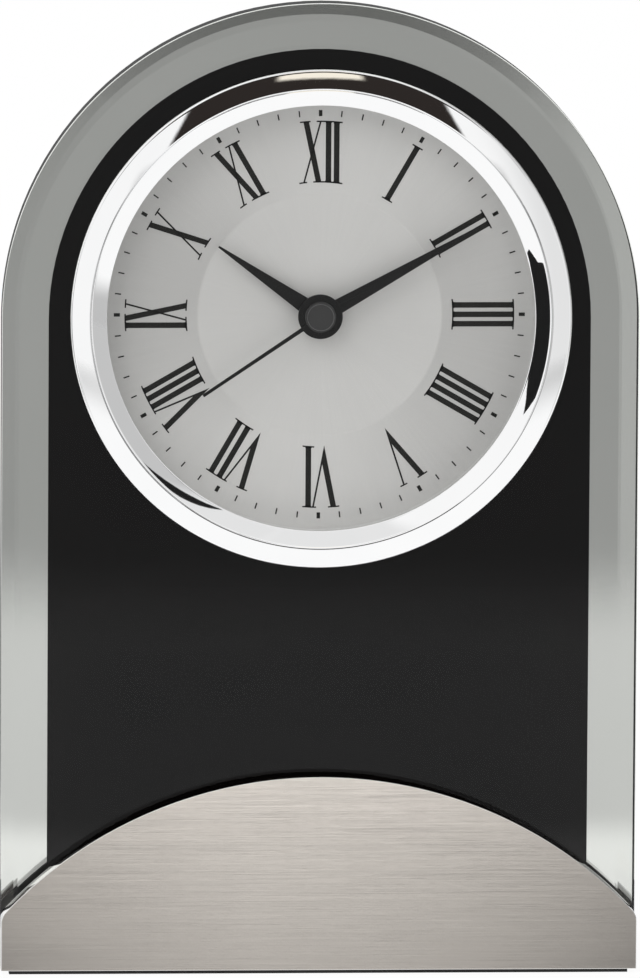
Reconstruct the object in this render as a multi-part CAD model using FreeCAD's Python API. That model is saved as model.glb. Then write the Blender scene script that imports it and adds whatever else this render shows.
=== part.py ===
import FreeCAD, Part
import math
import os
from FreeCAD import Vector

# Arched mantel clock: a bevelled glass panel that stands in a brushed metal foot and
# carries a round quartz insert. Millimetres, +Z up, the dial faces -Y, and the origin
# is under the middle of the foot, on the table.

# Width of the glass and of the foot under it
clock_width = 114.4

# Driving dimensions of the glass panel
panel_height = 166.7
panel_thickness = 5.0
bevel_width = 3.1
bevel_depth = 0.45
border_width = 8.5
coat_thickness = 0.2
insert_rise = 0.5

# Driving dimensions of the foot
total_depth = 45.0
foot_plate_height = 35.1
foot_side_height = 9.84
foot_plate_thickness = 5.0
foot_corner_radius = 3.0
foot_edge_chamfer = 0.35
block_height = 12.0
block_corner_radius = 5.0
block_edge_chamfer = 0.8
ledge_height = 7.0
gasket_thickness = 0.5
gasket_drop = 1.0
pad_thickness = 0.8
pad_inset = 1.5

# Sunk holes for the screws that draw the foot plate against the block
screw_sink_radius = 3.0
screw_sink_depth = 4.0
screw_height = 3.9
screw_spacing = 38.0

# Driving dimensions of the insert's front
bezel_border_gap = 3.7
bezel_rim_height = 0.9
bezel_rim_bevel = 0.45
bezel_land_width = 3.35
bezel_crest_height = 2.1
bezel_lip_overlap = 0.8
bezel_skirt_wall = 1.1
lens_side_gap = 0.2
lens_thickness = 1.2
reflector_wall = 0.7
hand_space = 4.7
dial_side_gap = 0.4
dial_thickness = 0.5
dial_hole_radius = 3.3

# Driving dimensions of the insert's can
panel_bore_setback = 3.5
can_wall = 2.05
can_flange_gap = 0.1
can_flange_thickness = 0.5
can_floor_thickness = 1.4
rib_height = 2.0
rib_width = 1.2
rib_length = 22.0
snug_gap = 0.05

# Driving dimensions of the movement's case
case_depth = 16.0
case_wall = 1.2
case_corner_radius = 3.0
case_headroom = 1.1
wheel_room = 2.0
bay_end_room = 1.65
bay_side_room = 0.75
finger_notch_radius = 7.0
finger_notch_depth = 6.0

# Driving dimensions of the battery and its contacts
battery_radius = 7.15
battery_length = 49.3
battery_nub_radius = 2.75
battery_nub_length = 1.0
battery_floor_gap = 0.3
battery_travel = 20.0
contact_thickness = 0.4
contact_width = 8.0
contact_gap = 0.1
contact_spring_half = 5.0
contact_tail_width = 2.4

# Driving dimensions of the wheel train
running_clearance = 0.08
end_play = 0.3
wheel_thickness = 1.2
layer_gap = 0.8
pinion_overlap = 0.2
arbor_radius = 0.5
pivot_depth = 0.7
seconds_arbor_radius = 0.55
minute_pipe_radius = 1.6
hour_pipe_radius = 2.4
knob_arbor_radius = 0.75
third_distance = 8.5
intermediate_distance = 8.75
rotor_distance = 6.0
minute_wheel_distance = 9.0

# Driving dimensions of the motor and the circuit
magnet_radius = 2.8
magnet_length = 3.5
stator_thickness = 0.8
stator_air_gap = 0.5
stator_web = 0.8
stator_leg_width = 4.0
stator_half_span = 15.5
coil_radius = 3.0
coil_half_length = 9.0
coil_flange_thickness = 1.0
coil_flange_rise = 0.4
coil_clearance = 0.3
core_thickness = 1.2
core_width = 3.0
bobbin_wall = 0.5
post_width = 2.2
board_width = 9.0
board_top_gap = 3.4
board_thickness = 0.8
board_edge_gap = 1.2
board_level = 9.3
board_base = 1.5
chip_rise = 7.3
chip_radius = 2.6
chip_height = 0.9
crystal_radius = 1.0
crystal_length = 6.0

# Driving dimensions of the knob and the hands
knob_radius = 5.0
knob_height = 3.0
knob_flute_depth = 0.5
knob_gap = 0.3
hour_hand_shortfall = 16.45
hour_hand_root_width = 3.3
hour_hand_tip_width = 0.35
hour_hub_radius = 3.3
minute_hand_shortfall = 6.55
minute_hand_root_width = 2.95
minute_hand_tip_width = 0.55
minute_boss_radius = 4.0
seconds_hand_shortfall = 13.25
seconds_hand_root_width = 0.72
seconds_hand_tip_width = 0.55
seconds_cap_radius = 2.75
hand_thickness = 0.35
hour_hand_height = 1.7
minute_hand_height = 2.65
minute_boss_rise = 0.35
crease_length = 5.0
crease_breadth = 0.8
crease_rise = 0.12
seconds_hand_height = 3.7
seconds_cap_rise = 0.2

# Tooth counts: rotor to seconds 30 to 1, seconds to minutes 60 to 1, minutes to hours 12 to 1
rotor_teeth = 6
intermediate_teeth = 30
intermediate_pinion_teeth = 6
seconds_teeth = 36
seconds_pinion_teeth = 6
third_teeth = 48
third_pinion_teeth = 6
centre_teeth = 45
cannon_teeth = 10
minute_teeth = 30
minute_pinion_teeth = 8
hour_teeth = 32
knob_flutes = 14

# Angles in degrees: hands clockwise from twelve, wheels anticlockwise from +X, from the front
hour_angle = 304.5
minute_angle = 60.6
seconds_angle = 236.0
third_direction = 20.0
intermediate_direction = 95.0
rotor_direction = 80.0
minute_wheel_direction = 170.0

# Tooth form: heights as shares of the module, half widths as shares of the tooth pitch
addendum_share = 0.7
dedendum_share = 1.1
tooth_root_share = 0.5
tooth_tip_share = 0.04
flute_land_share = 0.28

# One overrun serves every cut
overrun = 1.0

# Levels, from the table up
block_base_z = pad_thickness
ledge_z = block_base_z + ledge_height
panel_base_z = ledge_z + gasket_thickness
half_width = clock_width / 2
arch_radius = half_width
arch_centre_z = panel_base_z + panel_height - arch_radius
insert_z = arch_centre_z + insert_rise

# Radii of the insert, from the bezel inwards
bezel_radius = half_width - border_width - bezel_border_gap
panel_bore_radius = bezel_radius - panel_bore_setback
can_outer_radius = panel_bore_radius - snug_gap
can_inner_radius = can_outer_radius - can_wall
can_flange_radius = bezel_radius - bezel_skirt_wall - can_flange_gap
lens_radius = can_inner_radius - lens_side_gap
bezel_lip_radius = lens_radius - bezel_lip_overlap
dial_radius = can_inner_radius - dial_side_gap
reflector_outer_radius = can_inner_radius - snug_gap * 2
reflector_inner_radius = reflector_outer_radius - reflector_wall

# Hands, each short of the bright wall round the dial
hour_hand_length = reflector_inner_radius - hour_hand_shortfall
minute_hand_length = reflector_inner_radius - minute_hand_shortfall
seconds_hand_length = reflector_inner_radius - seconds_hand_shortfall

# Depths, from the front to the back
plate_front_y = -total_depth / 2
panel_front_y = plate_front_y + foot_plate_thickness
panel_rear_y = panel_front_y + panel_thickness
coat_rear_y = panel_rear_y + coat_thickness
block_face_y = coat_rear_y + gasket_thickness
block_rear_y = total_depth / 2
lens_front_y = panel_front_y - can_flange_thickness
lens_rear_y = lens_front_y + lens_thickness
dial_front_y = lens_rear_y + hand_space
dial_rear_y = dial_front_y + dial_thickness
can_rear_y = dial_rear_y + can_floor_thickness
case_front_y = can_rear_y
case_rear_y = case_front_y + case_depth
train_y = case_front_y + case_wall
cover_y = case_rear_y - case_wall

# Layers of the train: one wheel in each, its pinion one layer behind or in front
layer_step = wheel_thickness + layer_gap
hour_layer_y = train_y + end_play
minute_layer_y = hour_layer_y + layer_step
centre_layer_y = minute_layer_y + layer_step
third_layer_y = centre_layer_y + layer_step
seconds_layer_y = third_layer_y + layer_step
intermediate_layer_y = seconds_layer_y + layer_step

# Battery, across the bottom of the case
battery_y = train_y + battery_floor_gap + battery_radius
battery_half = (battery_length + battery_nub_length) / 2


def direction(angle):
    """Unit vector in the plane of the dial, anticlockwise from +X as seen from the front."""
    return Vector(math.cos(math.radians(angle)), 0, math.sin(math.radians(angle)))


def clockwise(angle):
    """Unit vector that a hand at this angle from twelve points along."""
    return Vector(math.sin(math.radians(angle)), 0, math.cos(math.radians(angle)))


# Arbor centres, in the plane of the dial
centre = Vector(0, 0, insert_z)
third_centre = centre + direction(third_direction) * third_distance
intermediate_centre = centre + direction(intermediate_direction) * intermediate_distance
rotor_centre = intermediate_centre + direction(rotor_direction) * rotor_distance
minute_wheel_centre = centre + direction(minute_wheel_direction) * minute_wheel_distance


# Motor: yoke round the rotor, coil above it
stator_y = minute_layer_y + (magnet_length - stator_thickness) / 2
stator_half_height = magnet_radius + stator_air_gap + stator_web
stator_top_z = rotor_centre.z + stator_half_height
coil_reach = coil_radius + coil_flange_rise
coil_z = stator_top_z + coil_clearance + coil_reach
core_y = stator_y + stator_thickness
coil_y = core_y + core_thickness / 2
board_y = train_y + board_level

# Case: as wide as the battery and its contacts, as high as the coil, the wheels and the bay
centre_tip_radius = 2 * third_distance / (centre_teeth + third_pinion_teeth) * (centre_teeth / 2 + addendum_share)
case_inner_half = battery_half + bay_end_room
case_half = case_inner_half + case_wall
case_top_z = coil_z + coil_reach + case_headroom + case_wall
chamber_floor_z = insert_z - centre_tip_radius - wheel_room
bay_top_z = chamber_floor_z - case_wall
battery_z = bay_top_z - bay_side_room - battery_radius
bay_floor_z = battery_z - battery_radius - bay_side_room
case_base_z = bay_floor_z - case_wall
board_base_z = insert_z + board_base
board_top_z = case_top_z - case_wall - board_top_gap
knob_front_y = case_rear_y + knob_gap

# Hands: each is pressed on its own pipe or arbor, in front of the dial
hour_hand_y = dial_front_y - hour_hand_height
minute_hand_y = dial_front_y - minute_hand_height
seconds_hand_y = dial_front_y - seconds_hand_height
seconds_arbor_front_y = seconds_hand_y - hand_thickness / 2


def box(x0, x1, y0, y1, z0, z1):
    """Rectangular block between three pairs of limits."""
    return Part.makeBox(x1 - x0, y1 - y0, z1 - z0, Vector(x0, y0, z0))


def rod(radius, y0, y1, at=centre):
    """Round bar along Y through a point of the dial plane."""
    return Part.makeCylinder(radius, y1 - y0, Vector(at.x, y0, at.z), Vector(0, 1, 0))


def ring(outer, inner, y0, y1, at=centre):
    """Tube along Y."""
    return rod(outer, y0, y1, at).cut(rod(inner, y0 - overrun, y1 + overrun, at))


def outline(start, *steps):
    """Closed wire: a step is a corner, or a pair of the point an arc passes and its end."""
    edges = []
    here = start
    for step in steps + (start,):
        if isinstance(step, tuple):
            edges.append(Part.Arc(here, step[0], step[1]).toShape())
            here = step[1]
        elif (step - here).Length > 0:
            edges.append(Part.makeLine(here, step))
            here = step
    return Part.Wire(edges)


def plate(wire, depth):
    """Flat piece: the outline carried along +Y."""
    return Part.Face(wire).extrude(Vector(0, depth, 0))


def turned(*steps):
    """Piece turned about the insert's axis; radii along X, depths along Y."""
    face = Part.Face(outline(*steps))
    solid = face.revolve(Vector(0, 0, 0), Vector(0, 1, 0), 360)
    solid.translate(centre)
    return solid


def joined(first, *others):
    """One solid from pieces that share faces or volume."""
    solid = first.fuse(list(others))
    return solid.removeSplitter()


def save(name, shape):
    """Writes one node and reports its volume and soundness."""
    shape.exportStep("parts/" + name + ".step")
    print(name, round(shape.Volume, 2), shape.isValid(), len(shape.Solids))


# Glass panel and its rear coatings


def arch(inset, y):
    """Front outline of the panel, drawn in from its sides and top but not from its base."""
    half = arch_radius - inset
    return outline(
        Vector(-half, y, panel_base_z),
        Vector(half, y, panel_base_z),
        Vector(half, y, arch_centre_z),
        (Vector(0, y, arch_centre_z + half), Vector(-half, y, arch_centre_z)),
    )


def panel_bore():
    """Round hole for the insert, through the glass and both coatings."""
    return rod(panel_bore_radius, panel_front_y - overrun, coat_rear_y + overrun)


def make_glass_panel():
    """Bevelled glass: a ground slope round the sides and the arch, square below."""
    bevel_rear_y = panel_front_y + bevel_depth
    slope = Part.makeLoft([arch(bevel_width, panel_front_y), arch(0, bevel_rear_y)], True, True)
    slab = plate(arch(0, bevel_rear_y), panel_thickness - bevel_depth)
    return joined(slab, slope).cut(panel_bore())


def make_mirror_border():
    """Silvered band on the back of the glass, between the edge and the black field."""
    band = plate(arch(0, panel_rear_y), coat_thickness)
    return band.cut(plate(arch(border_width, panel_rear_y), coat_thickness))


def make_black_backing():
    """Black lacquer on the back of the glass, inside the silvering and round the bore."""
    field = plate(arch(border_width, panel_rear_y), coat_thickness)
    return field.cut(panel_bore())


# Foot: front plate, block, gasket and pad


def make_foot_plate():
    """Segment of a large circle on a low rectangle, with softened shoulders."""
    top_z = block_base_z + foot_plate_height
    shoulder_z = block_base_z + foot_side_height
    wire = outline(
        Vector(-half_width, plate_front_y, block_base_z),
        Vector(half_width, plate_front_y, block_base_z),
        Vector(half_width, plate_front_y, shoulder_z),
        (Vector(0, plate_front_y, top_z), Vector(-half_width, plate_front_y, shoulder_z)),
    )
    solid = plate(wire, foot_plate_thickness)
    shoulders = [
        edge for edge in solid.Edges
        if edge.BoundBox.YLength > foot_plate_thickness / 2
        and abs(edge.CenterOfMass.z - shoulder_z) < foot_corner_radius
    ]
    solid = solid.makeFillet(foot_corner_radius, shoulders)
    rim = [
        edge for edge in solid.Edges
        if edge.BoundBox.YMax < plate_front_y + foot_plate_thickness / 2
    ]
    return solid.makeChamfer(foot_edge_chamfer, rim)


def make_base_block():
    """Bar behind the plate: a low ledge under the glass and a full-height part behind it."""
    top_z = block_base_z + block_height
    solid = box(-half_width, half_width, panel_front_y, block_rear_y, block_base_z, top_z)
    rear_corners = [
        edge for edge in solid.Edges
        if edge.BoundBox.ZLength > block_height / 2 and edge.CenterOfMass.y > 0
    ]
    solid = solid.makeFillet(block_corner_radius, rear_corners)
    top_edges = [
        edge for edge in solid.Edges
        if edge.BoundBox.ZMin > top_z - block_height / 4 and edge.BoundBox.YMax > block_face_y
    ]
    solid = solid.makeChamfer(block_edge_chamfer, top_edges)
    reach = half_width + overrun
    slot = box(-reach, reach, panel_front_y - overrun, block_face_y, ledge_z, top_z + overrun)
    solid = solid.cut(slot)
    for step in (-1, 0, 1):
        place = Vector(step * screw_spacing, 0, block_base_z + screw_height)
        solid = solid.cut(rod(screw_sink_radius, block_rear_y - screw_sink_depth, block_rear_y + overrun, place))
    return solid


def make_seat_gasket():
    """Rubber angle under the glass and behind its foot, which keeps glass off metal."""
    top_z = block_base_z + block_height - gasket_drop
    under = box(-half_width, half_width, panel_front_y, block_face_y, ledge_z, panel_base_z)
    behind = box(-half_width, half_width, coat_rear_y, block_face_y, ledge_z, top_z)
    return joined(under, behind)


def make_base_pad():
    """Thin black sheet under the plate and the block."""
    half = half_width - pad_inset
    solid = box(-half, half, plate_front_y + pad_inset, block_rear_y - pad_inset, 0, pad_thickness)
    corners = [edge for edge in solid.Edges if edge.BoundBox.ZLength > pad_thickness / 2]
    rear_corners = [edge for edge in corners if edge.CenterOfMass.y > 0]
    return solid.makeFillet(block_corner_radius - pad_inset, rear_corners)


# Insert: bezel, lens, reflector, dial and can


def make_bezel():
    """Polished ring: a bevelled rim, a land that rises to a crest, and a slope down to the lens."""
    rim_y = panel_front_y - bezel_rim_height
    land_radius = bezel_radius - bezel_rim_bevel
    crest_radius = land_radius - bezel_land_width
    skirt_radius = bezel_radius - bezel_skirt_wall
    return turned(
        Vector(bezel_radius, panel_front_y, 0),
        Vector(bezel_radius, rim_y, 0),
        Vector(land_radius, rim_y - bezel_rim_bevel, 0),
        Vector(crest_radius, panel_front_y - bezel_crest_height, 0),
        Vector(bezel_lip_radius, lens_front_y, 0),
        Vector(skirt_radius, lens_front_y, 0),
        Vector(skirt_radius, panel_front_y, 0),
    )


def make_lens():
    """Flat mineral glass, held under the bezel's lip."""
    return rod(lens_radius, lens_front_y, lens_rear_y)


def make_reflector_ring():
    """Bright wall between the lens and the dial."""
    return ring(reflector_outer_radius, reflector_inner_radius, lens_rear_y, dial_front_y)


def make_dial():
    """Thin metal disc on the floor of the can, with a hole for the pipes."""
    return ring(dial_radius, dial_hole_radius, dial_front_y, dial_rear_y)


def make_insert_can():
    """Moulded cup with a flange in front and, behind its floor, four ribs that grip the case."""
    flange_y = panel_front_y - can_flange_thickness
    cup = turned(
        Vector(can_flange_radius, flange_y, 0),
        Vector(can_flange_radius, panel_front_y, 0),
        Vector(can_outer_radius, panel_front_y, 0),
        Vector(can_outer_radius, can_rear_y, 0),
        Vector(dial_hole_radius, can_rear_y, 0),
        Vector(dial_hole_radius, dial_rear_y, 0),
        Vector(can_inner_radius, dial_rear_y, 0),
        Vector(can_inner_radius, flange_y, 0),
    )
    near = case_half + snug_gap
    far = near + rib_width
    along = rib_length / 2
    root_y = can_rear_y - can_floor_thickness / 2
    rib_rear_y = can_rear_y + rib_height
    low_z = case_base_z - snug_gap
    high_z = case_top_z + snug_gap
    ribs = [
        box(-far, -near, root_y, rib_rear_y, insert_z - along, insert_z + along),
        box(near, far, root_y, rib_rear_y, insert_z - along, insert_z + along),
        box(-along, along, root_y, rib_rear_y, low_z - rib_width, low_z),
        box(-along, along, root_y, rib_rear_y, high_z, high_z + rib_width),
    ]
    return joined(cup, *ribs)


# Movement: case and cover


def rounded_slab(half_x, z0, z1, y0, y1, radius):
    """Upright slab with round corners in the front view."""
    solid = box(-half_x, half_x, y0, y1, z0, z1)
    corners = [edge for edge in solid.Edges if edge.BoundBox.YLength > (y1 - y0) / 2]
    return solid.makeFillet(radius, corners)


def arbor_holes(y0, y1):
    """Bearing holes for every arbor that turns between the case and the cover."""
    radius = arbor_radius + running_clearance
    places = [third_centre, intermediate_centre, rotor_centre]
    holes = [rod(radius, y0, y1, place) for place in places]
    holes.append(rod(knob_arbor_radius + running_clearance, y0, y1, minute_wheel_centre))
    return holes


def stator_posts():
    """Middles of the two posts under the ends of the motor."""
    leg_x = stator_half_span - stator_leg_width / 2
    return [Vector(-leg_x, 0, coil_z), Vector(leg_x, 0, coil_z)]


def board_posts():
    """Middles of the two posts under the circuit board."""
    x = -case_inner_half + board_edge_gap + board_width / 2
    return [Vector(x, 0, board_base_z + post_width), Vector(x, 0, board_top_z - post_width)]


def post(place, y1):
    """Square post on the case's floor."""
    half = post_width / 2
    return box(place.x - half, place.x + half, case_front_y, y1, place.z - half, place.z + half)


def make_movement_case():
    """Moulded box: wheel chamber above, battery bay below."""
    body = rounded_slab(case_half, case_base_z, case_top_z, case_front_y, case_rear_y, case_corner_radius)
    chamber = box(
        -case_inner_half, case_inner_half, train_y, case_rear_y + overrun,
        chamber_floor_z, case_top_z - case_wall,
    )
    bay = box(-case_inner_half, case_inner_half, train_y, case_rear_y + overrun, bay_floor_z, bay_top_z)
    cover_seat = box(
        -case_half - overrun, case_half + overrun, cover_y, case_rear_y + overrun, bay_top_z, case_top_z + overrun
    )
    body = body.cut(chamber).cut(bay).cut(cover_seat)
    notch_y = case_rear_y - finger_notch_depth + finger_notch_radius
    notch = Part.makeCylinder(
        finger_notch_radius, case_wall + overrun * 2, Vector(0, notch_y, case_base_z - overrun), Vector(0, 0, 1)
    )
    body = body.cut(notch)
    tail_slot = box(
        -case_inner_half, -case_inner_half + contact_thickness,
        battery_y - contact_tail_width / 2, battery_y + contact_tail_width / 2,
        bay_top_z, chamber_floor_z,
    )
    body = body.cut(tail_slot)
    posts = [post(place, stator_y) for place in stator_posts()]
    posts += [post(place, board_y) for place in board_posts()]
    body = joined(body, *posts)
    body = body.cut(rod(hour_pipe_radius + running_clearance, case_front_y - overrun, train_y + overrun))
    for hole in arbor_holes(train_y - pivot_depth - running_clearance, train_y):
        body = body.cut(hole)
    return body


def make_movement_cover():
    """Flat lid over the wheel chamber, with a bearing hole for every arbor."""
    lid = rounded_slab(
        case_half, bay_top_z - case_corner_radius * 2, case_top_z, cover_y, case_rear_y, case_corner_radius
    )
    below = box(
        -case_half - overrun, case_half + overrun, cover_y - overrun, case_rear_y + overrun,
        bay_top_z - case_corner_radius * 3, bay_top_z,
    )
    lid = lid.cut(below)
    for hole in arbor_holes(cover_y - overrun, case_rear_y + overrun):
        lid = lid.cut(hole)
    centre_hole = rod(seconds_arbor_radius + running_clearance, cover_y - overrun, case_rear_y + overrun)
    return lid.cut(centre_hole)


# Motor: stator, core, bobbin and winding


def make_stator():
    """Soft-iron yoke: a bar with a round opening for the rotor and a leg at each end."""
    rear_y = stator_y + stator_thickness
    low_z = rotor_centre.z - stator_half_height
    leg_top_z = coil_z + core_width / 2
    bar = box(-stator_half_span, stator_half_span, stator_y, rear_y, low_z, stator_top_z)
    left = box(-stator_half_span, stator_leg_width - stator_half_span, stator_y, rear_y, low_z, leg_top_z)
    right = box(stator_half_span - stator_leg_width, stator_half_span, stator_y, rear_y, low_z, leg_top_z)
    opening = rod(magnet_radius + stator_air_gap, stator_y - overrun, rear_y + overrun, rotor_centre)
    return joined(bar, left, right).cut(opening)


def make_coil_core():
    """Flat iron bar through the coil, lying on both legs of the yoke."""
    return box(
        -stator_half_span, stator_half_span, core_y, core_y + core_thickness,
        coil_z - core_width / 2, coil_z + core_width / 2,
    )


def make_coil_bobbin():
    """Moulded sleeve with a square flange at each end."""
    reach = coil_reach
    half_sleeve = core_width / 2 + bobbin_wall
    inner = coil_half_length
    outer = coil_half_length + coil_flange_thickness
    sleeve = box(
        -outer, outer, coil_y - core_thickness / 2 - bobbin_wall, coil_y + core_thickness / 2 + bobbin_wall,
        coil_z - half_sleeve, coil_z + half_sleeve,
    )
    left = box(-outer, -inner, coil_y - reach, coil_y + reach, coil_z - reach, coil_z + reach)
    right = box(inner, outer, coil_y - reach, coil_y + reach, coil_z - reach, coil_z + reach)
    return joined(sleeve, left, right).cut(make_coil_core())


def make_coil_winding():
    """Fine enamelled wire, close-wound to a smooth barrel on the sleeve."""
    barrel = Part.makeCylinder(
        coil_radius, coil_half_length * 2, Vector(-coil_half_length, coil_y, coil_z), Vector(1, 0, 0)
    )
    half_sleeve = core_width / 2 + bobbin_wall
    return barrel.cut(box(
        -coil_half_length - overrun, coil_half_length + overrun,
        coil_y - core_thickness / 2 - bobbin_wall, coil_y + core_thickness / 2 + bobbin_wall,
        coil_z - half_sleeve, coil_z + half_sleeve,
    ))


# Circuit: board, crystal and battery contacts


def make_circuit_board():
    """Small board on two posts, with the sealed chip's round cap on its back."""
    left_x = -case_inner_half + board_edge_gap
    board = box(left_x, left_x + board_width, board_y, board_y + board_thickness, board_base_z, board_top_z)
    chip_place = Vector(left_x + board_width / 2, 0, board_base_z + chip_rise)
    chip = rod(chip_radius, board_y, board_y + board_thickness + chip_height, chip_place)
    return joined(board, chip)


def make_quartz_crystal():
    """Tubular crystal can that lies on the back of the board."""
    x = -case_inner_half + board_edge_gap + board_width / 2
    y = board_y + board_thickness + crystal_radius
    z = board_top_z - crystal_length - board_edge_gap
    return Part.makeCylinder(crystal_radius, crystal_length, Vector(x, y, z), Vector(0, 0, 1))


def contact_strip(x0, x1):
    """Flat part of a contact, against an end wall of the bay."""
    half = contact_width / 2
    return box(x0, x1, battery_y - half, battery_y + half, bay_floor_z, bay_top_z)


def make_contact_positive():
    """Flat spring plate at the right end, with a round boss that meets the battery's nub."""
    face_x = case_inner_half - contact_thickness
    strip = contact_strip(face_x, case_inner_half)
    boss_x = battery_half + contact_gap
    boss = Part.makeCylinder(
        battery_nub_radius, face_x - boss_x + contact_thickness / 2, Vector(boss_x, battery_y, battery_z),
        Vector(1, 0, 0),
    )
    return joined(strip, boss)


def make_contact_negative():
    """Bowed leaf at the left end, with a tail that climbs to the circuit board."""
    face_x = -case_inner_half + contact_thickness
    strip = contact_strip(-case_inner_half, face_x)
    tail_half = contact_tail_width / 2
    tail_top_z = board_base_z + contact_width
    tail = box(
        -case_inner_half, face_x, battery_y - tail_half, battery_y + tail_half,
        bay_top_z - contact_thickness, tail_top_z,
    )
    tip_x = -battery_half - contact_gap
    y = battery_y - contact_width / 2
    low_z = battery_z - contact_spring_half
    high_z = battery_z + contact_spring_half
    bow = outline(
        Vector(face_x, y, low_z),
        (Vector(tip_x, y, battery_z), Vector(face_x, y, high_z)),
        Vector(face_x, y, high_z - contact_thickness),
        (Vector(tip_x - contact_thickness, y, battery_z), Vector(face_x, y, low_z + contact_thickness)),
    )
    return joined(strip, tail, plate(bow, contact_width))


def make_battery():
    """Round cell lying across the bay, with its nub at the right end."""
    left_x = -battery_half
    right_x = left_x + battery_length
    body = Part.makeCylinder(
        battery_radius, battery_length, Vector(left_x, battery_y, battery_z), Vector(1, 0, 0)
    )
    nub = Part.makeCylinder(
        battery_nub_radius, battery_nub_length + overrun, Vector(right_x - overrun, battery_y, battery_z),
        Vector(1, 0, 0),
    )
    return joined(body, nub)


# Wheels


def gear(teeth, distance, mate_teeth, phase, y, thickness, at):
    """Spur gear with straight flanks that meet at the root. Its module comes from the distance
    to its mate, and its first tooth points along the phase angle."""
    module = 2 * distance / (teeth + mate_teeth)
    tip = module * (teeth / 2 + addendum_share)
    root = module * (teeth / 2 - dedendum_share)
    pitch = 360 / teeth
    points = []
    for tooth in range(teeth):
        middle = phase + tooth * pitch
        for radius, share in ((root, -tooth_root_share), (tip, -tooth_tip_share), (tip, tooth_tip_share)):
            point = at + direction(middle + share * pitch) * radius
            points.append(Vector(point.x, y, point.z))
    return plate(Part.makePolygon(points + [points[0]]), thickness)


def wheel(teeth, distance, mate_teeth, phase, y, at):
    """Wheel of one layer, one tooth towards its mate."""
    return gear(teeth, distance, mate_teeth, phase, y, wheel_thickness, at)


def pinion(teeth, distance, mate_teeth, towards, y, length, at):
    """Pinion that starts a little in front of the wheel it meets, one gap towards that wheel."""
    phase = towards + 180 + 180 / teeth
    return gear(teeth, distance, mate_teeth, phase, y - pinion_overlap, length + pinion_overlap, at)


def arbor(radius, at):
    """Steel arbor from its pivot in the case to its pivot in the cover."""
    return rod(radius, train_y - pivot_depth, cover_y + pivot_depth, at)


def half_tooth(teeth):
    """Turn that brings a gap where a tooth was."""
    return 180 / teeth


def make_rotor():
    """Two-pole magnet and its pinion on one arbor."""
    magnet = rod(magnet_radius, minute_layer_y, minute_layer_y + magnet_length, rotor_centre)
    leaves = pinion(
        rotor_teeth, rotor_distance, intermediate_teeth, rotor_direction, intermediate_layer_y,
        wheel_thickness + pinion_overlap, rotor_centre,
    )
    return joined(arbor(arbor_radius, rotor_centre), magnet, leaves)


def make_intermediate_wheel():
    """First reduction: the rotor's pinion drives its rim, its own pinion the seconds wheel."""
    rim = wheel(
        intermediate_teeth, rotor_distance, rotor_teeth, rotor_direction, intermediate_layer_y,
        intermediate_centre,
    )
    leaves = pinion(
        intermediate_pinion_teeth, intermediate_distance, seconds_teeth, intermediate_direction,
        seconds_layer_y, layer_step, intermediate_centre,
    )
    return joined(arbor(arbor_radius, intermediate_centre), rim, leaves)


def make_seconds_wheel():
    """Wheel on the long arbor that passes through both pipes to the seconds hand."""
    rim = wheel(
        seconds_teeth, intermediate_distance, intermediate_pinion_teeth, intermediate_direction,
        seconds_layer_y, centre,
    )
    leaves = gear(
        seconds_pinion_teeth, third_distance, third_teeth, third_direction,
        third_layer_y - pinion_overlap, seconds_layer_y - third_layer_y + pinion_overlap, centre,
    )
    long_arbor = rod(seconds_arbor_radius, seconds_arbor_front_y, cover_y + pivot_depth)
    return joined(long_arbor, rim, leaves)


def make_third_wheel():
    """Second reduction, between the seconds pinion and the centre wheel."""
    towards_centre = third_direction + 180
    rim = wheel(
        third_teeth, third_distance, seconds_pinion_teeth, towards_centre + half_tooth(third_teeth),
        third_layer_y, third_centre,
    )
    leaves = pinion(
        third_pinion_teeth, third_distance, centre_teeth, third_direction, centre_layer_y, layer_step,
        third_centre,
    )
    return joined(arbor(arbor_radius, third_centre), rim, leaves)


def make_centre_wheel():
    """Wheel that turns once an hour and grips the cannon pinion by friction."""
    rim = wheel(centre_teeth, third_distance, third_pinion_teeth, third_direction, centre_layer_y, centre)
    return rim.cut(rod(
        minute_pipe_radius + running_clearance, centre_layer_y - overrun, centre_layer_y + layer_step
    ))


def make_cannon_pinion():
    """Minute pipe with its pinion; the centre wheel slips on its rear end."""
    pipe = rod(minute_pipe_radius, minute_hand_y, centre_layer_y + wheel_thickness)
    leaves = gear(
        cannon_teeth, minute_wheel_distance, minute_teeth, minute_wheel_direction,
        minute_layer_y - pinion_overlap, wheel_thickness + pinion_overlap * 2, centre,
    )
    bore = rod(
        seconds_arbor_radius + running_clearance, minute_hand_y - overrun, centre_layer_y + layer_step
    )
    return joined(pipe, leaves).cut(bore)


def make_minute_wheel():
    """Wheel and pinion between minutes and hours, on the arbor that the setting knob turns."""
    towards_centre = minute_wheel_direction + 180
    rim = wheel(
        minute_teeth, minute_wheel_distance, cannon_teeth, towards_centre + half_tooth(minute_teeth),
        minute_layer_y, minute_wheel_centre,
    )
    leaves = gear(
        minute_pinion_teeth, minute_wheel_distance, hour_teeth, towards_centre + half_tooth(minute_pinion_teeth),
        hour_layer_y - pinion_overlap, minute_layer_y - hour_layer_y + pinion_overlap, minute_wheel_centre,
    )
    long_arbor = rod(knob_arbor_radius, train_y - pivot_depth, knob_front_y + knob_height / 2, minute_wheel_centre)
    return joined(long_arbor, rim, leaves)


def make_hour_wheel():
    """Wheel on the outer pipe, which carries the hour hand."""
    rim = wheel(hour_teeth, minute_wheel_distance, minute_pinion_teeth, minute_wheel_direction, hour_layer_y, centre)
    pipe = rod(hour_pipe_radius, hour_hand_y, hour_layer_y + wheel_thickness)
    bore = rod(
        minute_pipe_radius + running_clearance, hour_hand_y - overrun,
        hour_layer_y + wheel_thickness + layer_gap,
    )
    return joined(rim, pipe).cut(bore)


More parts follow.
